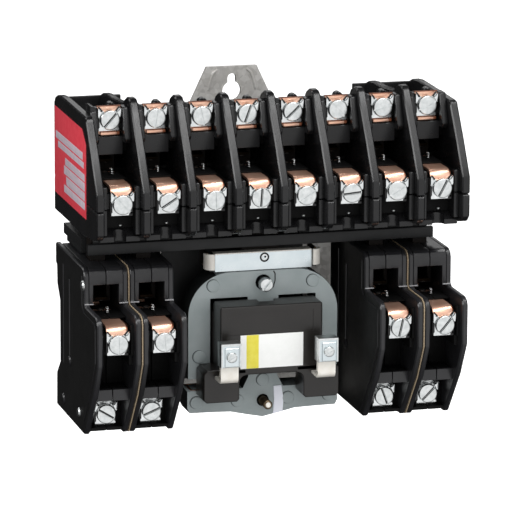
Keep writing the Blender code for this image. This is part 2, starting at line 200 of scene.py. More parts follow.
def galvanised():
    """Hot-dip zinc: crystal spangle with soft grey patches."""
    mat, tree, bsdf = new_material("galvanised_sheet")
    where = coords(tree)
    cells = node(tree, "ShaderNodeTexVoronoi", Scale=520.0)
    tree.links.new(where, cells.inputs["Vector"])
    cloud = noise(tree, where, 160, 5)
    mix = node(tree, "ShaderNodeMix", data_type="FLOAT")
    mix.inputs[0].default_value = 0.6
    tree.links.new(cells.outputs["Color"], mix.inputs[2])
    tree.links.new(cloud, mix.inputs[3])
    tone = mix.outputs[0]
    tree.links.new(ramp(tree, tone, [(0.2, (0.44, 0.425, 0.40)), (0.55, (0.64, 0.625, 0.6)),
                                     (0.85, (0.86, 0.845, 0.82))]), bsdf.inputs["Base Color"])
    tree.links.new(spread(tree, tone, 0.6, 0.42), bsdf.inputs["Roughness"])
    bump(tree, bsdf, tone, 0.25, 0.00008)
    bsdf.inputs["Metallic"].default_value = 0.4
    return mat


def laminated():
    """Grey dipping paint over laminations that show as fine lines along Y, with painted shade that
    darkens it low down.
    """
    mat, tree, bsdf = new_material("painted_laminations")
    where = coords(tree)
    wave = node(tree, "ShaderNodeTexWave", bands_direction="Y", Scale=620.0, Distortion=0.6,
                Detail=1.0)
    wave.inputs["Detail Scale"].default_value = 2.0
    tree.links.new(where, wave.inputs["Vector"])
    cloud = noise(tree, where, 120, 4)
    split = node(tree, "ShaderNodeSeparateXYZ")
    tree.links.new(node(tree, "ShaderNodeTexCoord").outputs["Object"], split.inputs[0])
    # painted shade: the colour is scaled down towards the bottom of the stacks
    low = node(tree, "ShaderNodeMapRange")
    for key, value in (("From Min", at(0, 0, -104).z), ("From Max", at(0, 0, -50).z),
                       ("To Min", 0.66), ("To Max", 1.0)):
        low.inputs[key].default_value = value
    tree.links.new(split.outputs["Z"], low.inputs["Value"])
    shade = node(tree, "ShaderNodeVectorMath", operation="SCALE")
    tree.links.new(ramp(tree, cloud, [(0.3, (0.39, 0.45, 0.455)), (0.7, (0.46, 0.515, 0.52))]),
                   shade.inputs[0])
    tree.links.new(low.outputs["Result"], shade.inputs["Scale"])
    tree.links.new(shade.outputs[0], bsdf.inputs["Base Color"])
    tree.links.new(spread(tree, noise(tree, where, 700, 3), 0.38, 0.6), bsdf.inputs["Roughness"])
    grain = noise(tree, where, 1500, 3)
    mix = node(tree, "ShaderNodeMix", data_type="FLOAT")
    mix.inputs[0].default_value = 0.2
    tree.links.new(wave.outputs["Fac"], mix.inputs[2])
    tree.links.new(grain, mix.inputs[3])
    bump(tree, bsdf, mix.outputs[0], 0.5, 0.00015)
    return mat


def fibre():
    """Tan vulcanised fibre with long flecks."""
    mat, tree, bsdf = new_material("tan_fibre")
    where = coords(tree, (1, 1, 5))
    speck = noise(tree, where, 900, 6, 0.7)
    tree.links.new(ramp(tree, speck, [(0.3, (0.26, 0.19, 0.115)), (0.7, (0.50, 0.40, 0.27))]),
                   bsdf.inputs["Base Color"])
    bsdf.inputs["Roughness"].default_value = 0.75
    bump(tree, bsdf, speck, 0.3, 0.0001)
    return mat


def printed(name, ink, faded, rough=0.45):
    """Printed film: flat ink that varies a little, with a slight orange-peel gloss."""
    mat, tree, bsdf = new_material(name)
    where = coords(tree)
    tree.links.new(ramp(tree, noise(tree, where, 420, 5, 0.65), [(0.35, ink), (0.7, faded)]),
                   bsdf.inputs["Base Color"])
    tree.links.new(spread(tree, noise(tree, where, 150, 2), rough - 0.08, rough + 0.1),
                   bsdf.inputs["Roughness"])
    bump(tree, bsdf, noise(tree, where, 1800, 2), 0.12, 0.00004)
    return mat


black = plastic("black_moulding", (0.007, 0.007, 0.0075), (0.012, 0.012, 0.013), (0.2, 0.31),
                specular=0.4)
frame_black = plastic("frame_moulding", (0.009, 0.0095, 0.01), (0.014, 0.0145, 0.0155),
                      (0.42, 0.56), 0.4, specular=0.35)
case_black = plastic("module_moulding", (0.015, 0.015, 0.0165), (0.023, 0.023, 0.026),
                     (0.25, 0.37))
# painted shade: a darker, duller copy of the module moulding for the cases' outward sides, which
# face away from the light
side_shade_moulding = plastic("module_side", (0.007, 0.007, 0.007), (0.011, 0.011, 0.011), (0.42, 0.56),
                    0.4, specular=0.3)
# painted highlight: pale plastic that stands in for the glint along each module's lower lip
lip_glint_paint = plastic("lip_glint_paint", (0.34, 0.34, 0.35), (0.62, 0.62, 0.64), (0.3, 0.42))
# painted shade: a dark, dull copy of the grey paint for the stacks' sideways faces
stack_side_shade = plastic("stack_side_shade", (0.016, 0.018, 0.0185), (0.034, 0.037, 0.038),
                          (0.55, 0.7), specular=0.2)
# painted shade: near-black, low-gloss copy of the moulding for recess walls, decks and pockets, so
# they read as deep shade
shade_black = plastic("recess_painted_shade", (0.003, 0.003, 0.003), (0.005, 0.005, 0.0052),
                     (0.55, 0.75), specular=0.15)
coil_black = plastic("coil_moulding", (0.010, 0.0085, 0.0075), (0.017, 0.0145, 0.013),
                     (0.24, 0.36), 0.35)
# dark brown moulding, darkened and dulled further as painted shade so the carrier reads as black
# inside the windows
carrier_brown = plastic("carrier_moulding", (0.006, 0.004, 0.003), (0.01, 0.0065, 0.005),
                        (0.5, 0.65), specular=0.2)
copper = metal("bright_copper", (0.84, 0.45, 0.31), (0.95, 0.62, 0.47), (0.26, 0.36), 120,
               metallic=0.72, grain=0)
# painted shade: a dark copy of the copper for strip faces that sit in shade
copper_in_shade = metal("copper_in_shade", (0.16, 0.055, 0.03), (0.3, 0.11, 0.06), (0.4, 0.55), 300)
zinc = metal("bright_zinc", (0.68, 0.705, 0.71), (0.88, 0.9, 0.905), (0.16, 0.32), 330, grain=0.1)
screw_zinc = metal("screw_zinc", (0.6, 0.63, 0.63), (0.84, 0.86, 0.86), (0.22, 0.4), 500,
                   grain=0.12)
blue_zinc = metal("blue_zinc", (0.66, 0.735, 0.765), (0.76, 0.82, 0.84), (0.24, 0.34), 140,
                  grain=0.06)
warm_tin = metal("tinned_brass", (0.86, 0.82, 0.74), (0.95, 0.92, 0.86), (0.3, 0.46), 300,
                 metallic=0.15)
spring_wire = metal("spring_wire", (0.5, 0.5, 0.5), (0.72, 0.72, 0.72), (0.22, 0.36), 600)
# tarnished silver and brass, both darkened further as painted shade so the contacts and bridges
# read as dark inside the windows
silver_face = metal("contact_silver", (0.06, 0.058, 0.055), (0.1, 0.096, 0.09), (0.5, 0.65), 500)
brass = metal("bridge_brass", (0.012, 0.008, 0.005), (0.02, 0.013, 0.008), (0.55, 0.7), 300)
bronze = metal("stud_bronze", (0.10, 0.075, 0.05), (0.2, 0.15, 0.1), (0.3, 0.45), 400)
shade_copper = metal("shading_copper", (0.42, 0.17, 0.09), (0.6, 0.28, 0.16), (0.35, 0.5), 300)
sheet_zinc = galvanised()
grey_paint = laminated()
# painted shade: dark ring set off to one side of each rivet head, a crescent in place of the
# head's shaded side
rivet_shade = plastic("rivet_painted_shade", (0.05, 0.06, 0.062), (0.085, 0.095, 0.1), (0.5, 0.6))
tan_fibre = fibre()
red_ink = printed("label_red", (0.86, 0.055, 0.085), (0.93, 0.095, 0.125))
grey_ink = printed("label_grey", (0.66, 0.56, 0.64), (0.80, 0.70, 0.77))
white_film = printed("label_white", (0.93, 0.94, 0.92), (0.97, 0.975, 0.96), 0.3)
amber_ink = printed("label_amber", (0.80, 0.70, 0.05), (0.86, 0.77, 0.1), 0.35)
guide_plastic = plastic("guide_plastic", (0.80, 0.82, 0.91), (0.90, 0.92, 0.98), (0.4, 0.5))


# ---------------------------------------------------------------- mesh building
class Piece:
    """Collects bevelled solids, each with its own material, into one object."""

    def __init__(self, name, *materials):
        self.name = name
        self.materials = list(materials)
        self.bm = bmesh.new()

    def slot_of(self, mat):
        return self.materials.index(mat) if mat else 0

    def take(self, bm, mat=None, bevel=0.0, segments=2, angle=25):
        """Adds a solid, with its edges sharper than angle degrees bevelled by bevel mm."""
        if bevel:
            limit = math.radians(angle)
            edges = [e for e in bm.edges
                     if len(e.link_faces) == 2 and e.calc_face_angle(0) > limit]
            bmesh.ops.bevel(bm, geom=edges, offset=bevel * MM, segments=segments, profile=0.6,
                            affect="EDGES", clamp_overlap=True)
        slot = self.slot_of(mat)
        for face in bm.faces:
            face.material_index = slot
        mesh = bpy.data.meshes.new("tmp")
        bm.to_mesh(mesh)
        bm.free()
        self.bm.from_mesh(mesh)
        bpy.data.meshes.remove(mesh)

    def box(self, x, y, z, bevel=0.3, mat=None, turn=None, segments=2):
        """Block between the pairs x, y and z, turned about its centre if asked."""
        bm = bmesh.new()
        bmesh.ops.create_cube(bm, size=1.0)
        size = [abs(b - a) * MM for a, b in (x, y, z)]
        bmesh.ops.scale(bm, vec=size, verts=bm.verts)
        spot = Matrix.Translation(at(sum(x) / 2, sum(y) / 2, sum(z) / 2))
        bm.transform(spot @ turn if turn else spot)
        self.take(bm, mat, bevel, segments)

    def slab(self, outline, low, high, axis="X", bevel=0.4, mat=None, segments=2, angle=25):
        """Flat outline pushed along an axis: (y, z) points for X, (x, z) for Y, (x, y) for Z."""
        bm = bmesh.new()
        put = {"X": lambda a, b, c: at(c, a, b), "Y": lambda a, b, c: at(a, c, b),
               "Z": lambda a, b, c: at(a, b, c)}[axis]
        bottom = [bm.verts.new(put(a, b, low)) for a, b in outline]
        top = [bm.verts.new(put(a, b, high)) for a, b in outline]
        bm.faces.new(bottom)
        bm.faces.new(top)
        for i in range(len(outline)):
            j = (i + 1) % len(outline)
            bm.faces.new((bottom[i], bottom[j], top[j], top[i]))
        bmesh.ops.recalc_face_normals(bm, faces=bm.faces)
        self.take(bm, mat, bevel, segments, angle)

    def turned(self, profile, spot, axis="Y", steps=32, mat=None):
        """Solid of revolution: (radius, along) points in mm from the spot, along the axis."""
        bm = bmesh.new()
        rings = []
        for radius, along in profile:
            ring = []
            for i in range(steps if radius > 0 else 1):
                t = 2 * math.pi * i / steps
                u, v = radius * math.cos(t), radius * math.sin(t)
                local = {"X": (along, u, v), "Y": (u, along, v), "Z": (u, v, along)}[axis]
                ring.append(bm.verts.new(Vector(spot) + Vector(local) * MM))
            rings.append(ring)
        for a, b in zip(rings, rings[1:]):
            for i in range(steps):
                j = (i + 1) % steps
                if len(a) == 1:
                    bm.faces.new((a[0], b[i], b[j]))
                elif len(b) == 1:
                    bm.faces.new((a[i], a[j], b[0]))
                else:
                    bm.faces.new((a[i], a[j], b[j], b[i]))
        for ring in (rings[0], rings[-1]):
            if len(ring) > 1:
                bm.faces.new(ring)
        bmesh.ops.recalc_face_normals(bm, faces=bm.faces)
        self.take(bm, mat)

    def mesh(self, mesh, matrix=None, mat=None):
        """Adds a finished mesh, moved by the matrix if there is one."""
        bm = bmesh.new()
        bm.from_mesh(mesh)
        if matrix:
            bm.transform(matrix)
        self.take(bm, mat)

    def done(self, body="root", replaces=(), angle=32):
        """Makes the object: smooth but for edges over angle degrees, riding on its body."""
        mesh = bpy.data.meshes.new(self.name)
        self.bm.to_mesh(mesh)
        self.bm.free()
        for mat in self.materials:
            mesh.materials.append(mat)
        mesh.shade_smooth()
        mesh.set_sharp_from_angle(angle=math.radians(angle))
        obj = bpy.data.objects.new(self.name, mesh)
        bpy.context.scene.collection.objects.link(obj)
        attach(obj, body)
        if replaces:
            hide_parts(*replaces)
        return obj


def arc(ca, cb, radius, start, end, steps):
    """Points on an arc, angles in degrees from the first axis."""
    turns = [math.radians(start + (end - start) * i / steps) for i in range(steps + 1)]
    return [(ca + radius * math.cos(t), cb + radius * math.sin(t)) for t in turns]


def ribbon(path, thickness):
    """Closed outline of a strip whose one side runs along the path."""
    other = []
    last = len(path) - 1
    for i, point in enumerate(path):
        a = Vector(path[max(i - 1, 0)])
        b = Vector(path[min(i + 1, last)])
        here = Vector(point)
        d1 = (here - a).normalized() if i else (b - here).normalized()
        d2 = (b - here).normalized() if i < last else d1
        normal = Vector((d1.y + d2.y, -(d1.x + d2.x))) / 2
        other.append(tuple(here + normal * (thickness / max(normal.length_squared, 0.2))))
    return list(path) + other[::-1]


def pole_x(i):
    return (i - (POLES - 1) / 2) * PITCH


def barrier_x(i):
    return (i - POLES / 2) * PITCH


def cut_mesh(obj, tool):
    """The first object's mesh less the second's; both are used up."""
    mod = obj.modifiers.new("cut", "BOOLEAN")
    mod.operation = "DIFFERENCE"
    mod.object = tool
    bpy.context.view_layer.update()
    graph = bpy.context.evaluated_depsgraph_get()
    mesh = bpy.data.meshes.new_from_object(obj.evaluated_get(graph))
    for used in (obj, tool):
        bpy.data.objects.remove(used, do_unlink=True)
    return mesh


def loose(piece):
    """A piece's mesh as an object that isn't part of the model yet."""
    mesh = bpy.data.meshes.new(piece.name)
    piece.bm.to_mesh(mesh)
    piece.bm.free()
    obj = bpy.data.objects.new(piece.name, mesh)
    bpy.context.scene.collection.objects.link(obj)
    return obj


def drilled(stack, z, radius):
    """A lamination stack's mesh with a round hole through it on the centre line."""
    front, back = DRILL_Y
    drill = Piece("drill")
    drill.turned([(0, 0), (radius, 0), (radius, back - front), (0, back - front)],
                 at(0, front, z), "Y", 40)
    return cut_mesh(loose(stack), loose(drill))


def shafts(low, high):
    """Room for the carrier's foot and fingers, and for the return spring."""
    tool = Piece("shafts")
    for i in range(MODULES):
        x = centre_x("module_%d_bridge" % (i + 1))
        tool.box((x - FINGER_HALF, x + FINGER_HALF), CARRIER_Y, (low, high), 0)
    tool.box((-FOOT_HALF, FOOT_HALF), CARRIER_Y, (low, high), 0)
    if high > SPRING_Z[0] + 2:      # not through the bar that the spring stands on
        tall = high - low
        tool.turned([(0, 0), (SPRING_ROOM, 0), (SPRING_ROOM, tall), (0, tall)],
                    at(0, SPRING_Y, low), "Z")
    return loose(tool)


def pierced(x, y, z, bevel):
    """Block with the carrier's shafts through it."""
    solid = Piece("solid")
    solid.box(x, y, z, bevel)
    return cut_mesh(loose(solid), shafts(z[0] - 1, z[1] + 1))


def screw_mesh(radius, height, slot_half=0.5, slot_depth=0.95):
    """Binding-head screw facing -Y at the front-coordinate origin, with its slot along Z."""
    head = Piece("head")
    profile = [(0, -height - 0.12), (radius * 0.5, -height - 0.08)]
    profile += [(radius - 0.55 + 0.55 * c, -height + 0.55 - 0.55 * s)
                for c, s in arc(0, 0, 1, 90, 0, 4)]
    profile += [(radius, -0.25), (radius - 0.15, 0), (0, 0)]
    head.turned(profile, at(0, 0, 0), "Y", 40)
    slot = Piece("slot")
    slot.box((-slot_half, slot_half), (-height - 1, -height + slot_depth),
             (-radius - 1, radius + 1), 0)
    return cut_mesh(loose(head), loose(slot))


deep_head = screw_mesh(4.0, 2.1)
faint_head = screw_mesh(4.0, 2.1, 0.32, 0.4)
coil_head = screw_mesh(2.2, 1.7, 0.3, 0.4)
small_head = screw_mesh(2.8, 3.4, 0.45, 1.0)


def place_head(piece, mesh, x, y, z, tilt, mat):
    """Adds a screw head whose slot leans by tilt degrees from upright, clockwise seen in front."""
    turn = Matrix.Rotation(math.radians(tilt), 4, "Y")
    move = Matrix.Translation(at(x, y, z)) @ turn @ Matrix.Translation(-at(0, 0, 0))
    piece.mesh(mesh, move, mat)


def place_screw(piece, x, y, z, tilt, faint, notch):
    """Terminal screw with its saddle clamp: waisted plate, two raised wings beside the head."""
    place_head(piece, faint_head if faint else deep_head, x, y, z, tilt, screw_zinc)
    if not faint:
        # painted shade: black bar at the bottom of the slot
        piece.box((x - 0.36, x + 0.36), (y - 1.3, y - 1.15), (z - 3.7, z + 3.7), 0, black,
                  Matrix.Rotation(math.radians(tilt), 4, "Y"))
    half, waist = 4.65, 3.9
    right = [(4.3, -4.75), (4.3, -3.7), (waist, -3.2), (waist, 0.4), (half, 1.2), (half, 4.5),
             (3.5, 4.7), (2.3, 3.4)]
    left = [(-a, b) for a, b in reversed(right)]
    if notch:
        right = [(3.0, -4.75), (3.0, -4.0), (waist, -3.2)] + right[3:]
        # painted shadow in the notch below the clamp's corner
        piece.box((x + 2.8, x + 4.6), (y + 0.9, y + 1.7), (z - 5.1, z - 3.2), 0.2, black)
    piece.slab([(x + a, z + b) for a, b in right + left], y + 0.4, y + 1.8, "Y", 0.3, zinc,
               angle=40)
    for s in (-1, 1):
        wing = [(2.95, 3.2), (3.9, 3.6), (4.75, 4.9), (4.75, 1.4), (4.2, 1.0), (3.6, 2.1)]
        piece.slab([(x + s * a, z + b) for a, b in wing], y - 0.9, y + 0.9, "Y", 0.22, zinc,
                   angle=30)
        # painted shadow: black slits between each wing and the plate
        shadow_gap = [(2.5, 3.55), (3.05, 3.2), (4.55, 5.15), (4.0, 5.35)]
        piece.slab([(x + s * a, z + b) for a, b in shadow_gap], y - 0.1, y + 0.7, "Y", 0.1, black)
        # painted shadow: black backing beside the waist
        piece.box((x + s * 3.6, x + s * 4.6), (y + 0.9, y + 1.7), (z - 4.4, z + 1.4), 0.2, black)


def helix(piece, x, y, low, high, radius, wire, turns, mat, steps, sides):
    """Round wire wound about a vertical axis, its ends closed flat."""
    bm = bmesh.new()
    count = int(turns * steps)
    rings = []
    for i in range(count + 1):
        a = 2 * math.pi * i / steps
        z = low + wire + (high - low - 2 * wire) * i / count
        ring = []
        for j in range(sides):
            b = 2 * math.pi * j / sides
            r = radius + wire * math.cos(b)
            ring.append(bm.verts.new(at(x + r * math.cos(a), y + r * math.sin(a),
                                        z + wire * math.sin(b))))
        rings.append(ring)
    for a, b in zip(rings, rings[1:]):
        for j in range(sides):
            k = (j + 1) % sides
            bm.faces.new((a[j], a[k], b[k], b[j]))
    bm.faces.new(rings[0])
    bm.faces.new(rings[-1])
    bmesh.ops.recalc_face_normals(bm, faces=bm.faces)
    piece.take(bm, mat)


# ---------------------------------------------------------------- block
BARRIER_FRONT = [(0, 0), (9.2, 14.4), (17.6, 26.2)]
REAR_EAR = [(56, 28.7), (64, 28.7), (71, 27.9), (75, 26.5), (BARRIER_BACK, 24)]
KNOB = [(22.6, 32.9), (24.6, 34.1), (28.6, 34.2), (33, 32.2)]
END_TOP = [(18.4, 27.8), (20.5, 28.3)] + REAR_EAR
NEXT_TOP = KNOB + [(36, 30.2)] + REAR_EAR
MID_TOP = KNOB + [(35.2, 29.5), (36, 24.3), (60, 23.2), (BARRIER_BACK, 16.5)]
BARRIER_TOPS = [END_TOP, NEXT_TOP] + [MID_TOP] * (POLES - 3) + [NEXT_TOP, END_TOP]
CHEEK = [(24.4, 30.7), (19.6, 18.6), (21, 16.5), (31, 16.5), (31, 30.7)]


def block_cover():
    """Upper moulding: tops of the barriers, decks over the contacts, roof and rear wall."""
    floor = -6.95
    cover = Piece("block_cover_moulding", black, shade_black)
    for i, top in enumerate(BARRIER_TOPS):
        x = barrier_x(i)
        cover.slab([(0, floor)] + BARRIER_FRONT + top + [(BARRIER_BACK, floor)],
                   x - BARRIER_T / 2, x + BARRIER_T / 2, "X", 0.5, segments=1, angle=12)
    roof = [(33, 20.9), (59, 20.9), (77, 13.5), (77, 16.3), (59.5, 22.6), (33, 22.6)]
    cover.slab(roof, -BLOCK_HALF, BLOCK_HALF, "X", 0.3)
    cover.box((-BLOCK_HALF, BLOCK_HALF), (73.5, 77), (floor, 15.5), 0.3)
    for s in (-1, 1):
        cover.box((s * 50, s * BLOCK_HALF), (75, 77), (12, 26), 0.4)
    for i in range(POLES):
        x = pole_x(i)
        wide = (x - BAY_HALF, x + BAY_HALF)
        seat = (x - 5.5, x + 5.5)
        cover.box(wide, (6.7, 36), (floor, -0.8), 0.2)
        # painted shade: the recess plastic darkens the floor under each deck, the deck over the
        # strip's run and the bay behind the seat
        cover.box(wide, (9, 36), (-1, 1), 0.2, shade_black)
        cover.box(wide, (48, 56.5), (floor, 1), 0.2)
        cover.box((x - 4.6, x + 4.6), (17.5, 30), (RUN_BLOCK + 0.12, RUN_BLOCK + 0.8), 0.25,
                  shade_black)
        cover.box(seat, (24.5, 34), (11.4, 19), 0.5, segments=3)
        cover.box(wide, (29, 33.9), (12, 18.9), 0.2, shade_black)
        cover.box(seat, (28.6, 33.2), (20.8, 30), 0.35)
        cover.box(wide, (30, 33.1), (20.8, 27), 0.2)
        cover.turned([(0, 0), (1.4, 0), (1.8, 0.4), (1.8, 3.6), (1.4, 4), (0, 4)],
                     at(x + 2.0, 30, 30.0), "Y", 24)
        cover.slab(CHEEK, x + 5.2, x + 8.0, "X", 0.7, segments=3)
        shoulder = [(x - 8.1, 20), (x - 5.2, 20), (x - 5.2, 29.6), (x - 5.7, 30.8),
                    (x - 6.7, 31.5), (x - 8.1, 31.8)]
        cover.slab(shoulder, 24.6, 32.5, "Y", 0.5, segments=3, angle=30)
        cover.slab([(24.2, 29.6), (19.6, 18.6), (21, 16.5), (30, 16.5), (30, 29.6)], x - 8.0,
                   x - 5.3, "X", 0.7, segments=3)
        for s in (-1, 1):
            rib = (x + s * 5.7, x + s * 8.0)
            cover.box(rib, (4.6, 8), (floor, 2.2), 0.55, segments=3)
            cover.box((x + s * 5.9, x + s * 8.0), (4.35, 5.4), (-3.3, -2.7), 0.15)
    cover.done(replaces=["block_cover"])


def block_base():
    """Lower moulding: feet of the barriers, floor, ledges and pockets under the clamps."""
    top = -7.2
    base = Piece("block_base_moulding", black, screw_zinc, shade_black)
    near, far = CARRIER_Y
    back = [(BARRIER_BACK, top), (BARRIER_BACK, -21.4)]
    under = [(24, -21.2), (8, -19.9), (2.6, -18.8), (0, -16.4)]
    for i in range(POLES + 1):
        x = barrier_x(i)
        sides = [[(0, top)] + back + under]
        if i == POLES // 2:
            sides = [[(0, top), (near, top), (near, -21.2)] + under,
                     [(57.1, top)] + back + [(57.1, -21.3)]]
        elif 0 < i < POLES:
            notch = [(near, top), (near, -17.3), (far, -17.3), (far, top)]
            sides = [[(0, top)] + notch + back + under]
        for side in sides:
            base.slab(side, x - BARRIER_T / 2, x + BARRIER_T / 2, "X", 0.5, segments=1, angle=12)
    base.mesh(pierced((-BLOCK_HALF, BLOCK_HALF), (12, 77), (-21.2, -18), 0.3))
    base.box((-BLOCK_HALF, BLOCK_HALF), (73.5, 77), (-21, top), 0.3)
    ledges = Piece("ledges")
    pockets = Piece("pockets")
    for i in range(POLES):
        x = pole_x(i)
        # painted shade on the pocket wall under each clamp
        base.box((x - BAY_HALF, x + BAY_HALF), (12, 14.5), (-18.5, top), 0.2, shade_black)
        for s in (-1, 1):
            base.box((x + s * 5.7, x + s * 8.0), (4.6, 12.2), (-17.6, top), 0.55, segments=3)
        ledges.slab([(7, -20.7), (7, -18.6), (12.4, -15.6), (12.4, -21)], x - BAY_HALF,
                    x + BAY_HALF, "X", 0.3)
        pockets.turned([(0, 0), (2.8, 0), (2.8, 8), (0, 8)], at(x, 8.2, -22), "Z", 28)
        base.turned([(0, 0), (0.6, 0), (0.75, 0.2), (0.75, 0.5), (0, 0.6)],
                    at(x + 0.6, 9.4, -14.6), "Z", 16, screw_zinc)
    base.mesh(cut_mesh(loose(ledges), loose(pockets)))
    base.done(replaces=["block_base"])


def base_frame():
    """Flange bar between block and modules, its arms down the plate, and a thin dark sheet behind
    the magnet that stands in for shade there.
    """
    bar = Piece("base_frame_moulding", frame_black)
    bar.mesh(pierced((-73.5, 73.5), (35, 80), (-32.3, -27.8), 0.5))
    bar.box((-60, 60), (78.3, 84.3), (-33, 10), 0.5)
    for s in (-1, 1):
        bar.mesh(pierced((s * 16, s * 71), (37, 77), (-28.2, -22), 0.5))
        bar.box((s * 41, s * 73), (50, 76), (-34.7, -32), 0.4)
        bar.box((s * 37.6, s * 60), (78.3, 84.3), (-72, -28), 0.5)
    # painted shade: thin black sheet hiding the bright plate behind the magnet
    bar.box((-36.4, 24.5), (60.35, 60.95), (-93, -33), 0.2)
    bar.done(replaces=["base_frame"])


def rating_label():
    """Blank rating label on the left end: red film with pale blocks where print would be."""
    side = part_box("block_cover")[0].x / MM
    label = Piece("rating_label_film", red_ink, grey_ink)
    label.slab([(18.6, -13.4), (75.5, -13.4), (75.5, 22.9), (25.3, 22.5), (18.6, 17.1)],
               side - 0.15, side + 0.1, "X", 0.05)
    for y, z in (((24, 73), (9.9, 13)), ((22, 69), (6.7, 9.3)), ((20.5, 56), (1.6, 4.6)),
                 ((20.5, 58), (-2.4, 1.1)), ((20.5, 54), (-6.4, -2.9)), ((20.5, 58), (-10, -6.9))):
        label.box((side - 0.2, side), y, z, 0.03, grey_ink)
    label.done()


# ---------------------------------------------------------------- terminals
# how far each screw's slot leans, in degrees, and which slots are shallow (pairs in the modules)
UPPER_TILT = (42, 10, -12, 20, 47, -42, 75, 65)
UPPER_FAINT = (1, 2, 5, 6, 7)
LOWER_TILT = (-40, 58, 0, 4, 60, 85, 60, 28)
LOWER_FAINT = (0, 2, 4, 6)
MODULE_UPPER = ((0, True), (-5, True), (13, False), (40, False))
MODULE_LOWER = ((-58, False), (68, False), (-20, False), (45, False))
FIXED_CONTACT = [(0, 0), (1.5, 0), (1.5, 0.5), (1.2, 0.8), (0, 0.8)]


def front_terminal(name, x, run, tilt, faint, node_name):
    """Strip that bends over a shoulder down to its screw, with the fixed contact behind."""
    part = Piece(name, copper, screw_zinc, zinc, silver_face, copper_in_shade, black, spring_wire)
    shoulder = arc(5 + SHOULDER_R, run - SHOULDER_R, SHOULDER_R, 180, 90, 14)
    part.slab(ribbon([(5, run - 11.6)] + shoulder + [(36, run)], STRIP_T), x - STRIP_HALF,
              x + STRIP_HALF, "X", 0.25, angle=40)
    # painted shade: dark copper fin along the right side of the shoulder
    cheek = arc(10.4, run - 4.4, 4.1, 180, 90, 10)
    part.slab([(6.3, run - 9)] + cheek + [(16, run - 0.3), (16, run - 1.6), (9, run - 9)],
              x + 4.3, x + 5.0, "X", 0.2, copper_in_shade, angle=40)
    part.turned(FIXED_CONTACT, at(x, 34, run - 0.05), "Z", 24, silver_face)
    helix(part, x + 0.6, 24, run + 0.9, run + 3.6, 0.6, 0.14, 3.5, spring_wire, 14, 6)
    place_screw(part, x, 3.4, run - SCREW_DROP, tilt, faint, True)
    part.done(replaces=[node_name])


def rear_terminal(name, x, run, shelf, up, tilt, faint, node_name):
    """Strip from the rear contact along a shelf to its screw, which is above it or below."""
    part = Piece(name, copper, screw_zinc, zinc, silver_face, copper_in_shade, black)
    s = 1 if up else -1
    tip = shelf + s * 11.8
    strip = (x - STRIP_HALF, x + STRIP_HALF)
    narrow = (x - CONTACT_HALF, x + CONTACT_HALF)
    plate_y = (27, 27 + STRIP_T)
    if up:
        flare = [(strip[0], shelf), (strip[1], shelf), (strip[1], tip - 1.2),
                 (x + 5.1, tip - 0.2), (x - 4.8, tip - 0.2), (strip[0], tip - 1.2)]
        part.slab(flare, *plate_y, "Y", 0.25)
        # painted shade: dark copper along the plate's top edge and at the right end of the lip
        # below
        part.box((x - 4.9, x + 5.2), (27.1, 28.3), (tip - 0.3, tip + 0.05), 0.1, copper_in_shade)
        part.box((x - 3.6, x + 3.2), (25.2, 26.9), (shelf + 0.1, shelf + 1.3), 0.4)
        part.box((x + 3.1, x + 4.4), (25.4, 26.9), (shelf + 0.1, shelf + 1.4), 0.3, copper_in_shade)
    else:
        part.box(strip, plate_y, sorted((shelf, tip)), 0.3, zinc)
    shelf_z = sorted((shelf, shelf + s * STRIP_T))
    part.box(strip, (27.3, 36), shelf_z, 0.3, copper if up else zinc)
    part.box(narrow, (34, 58.2), shelf_z, 0.3)
    part.box(narrow, (57, 58.2), sorted((shelf, run - STRIP_T)), 0.3)
    part.box(narrow, (48, 58.2), (run - STRIP_T, run), 0.3)
    part.turned(FIXED_CONTACT, at(x, 50, run - 0.05), "Z", 24, silver_face)
    place_screw(part, x, 25.4, shelf + s * 6.4, tilt, faint, False)
    part.done(replaces=[node_name])


def bridge(name, x, run, body, node_name):
    """Moving bar with a contact under each end."""
    part = Piece(name, brass, silver_face)
    low = run + 4.0
    button = [(0, 0), (1.2, 0), (1.5, 0.25), (1.5, 0.7), (0, 0.7)]
    # the bar and buttons take the dark painted-shade metals
    part.box((x - 2.9, x + 2.9), (32, 52), (low + 0.6, low + 1.8), 0.35, segments=3)
    for y in (34, 50):
        part.turned(button, at(x, y, low), "Z", 24, silver_face)
    part.done(body, [node_name])


def terminals():
    for i in range(POLES):
        pole = "pole_%d_" % (i + 1)
        x = centre_x(pole + "bridge")
        front_terminal(pole + "lower_screw_terminal", x, RUN_BLOCK, LOWER_TILT[i],
                       i in LOWER_FAINT, pole + "lower_terminal")
        rear_terminal(pole + "upper_screw_terminal", x, RUN_BLOCK, BLOCK_SHELF, True,
                      UPPER_TILT[i], i in UPPER_FAINT, pole + "upper_terminal")
        bridge(pole + "contact_bridge", x, RUN_BLOCK, pole + "bridge_body", pole + "bridge")
    for i in range(MODULES):
        module = "module_%d_" % (i + 1)
        x = centre_x(module + "bridge")
        front_terminal(module + "upper_screw_terminal", x, RUN_MODULE, *MODULE_UPPER[i],
                       module + "upper_terminal")
        rear_terminal(module + "lower_screw_terminal", x, RUN_MODULE, MODULE_SHELF, False,
                      *MODULE_LOWER[i], module + "lower_terminal")
        bridge(module + "contact_bridge", x, RUN_MODULE, module + "bridge_body", module + "bridge")


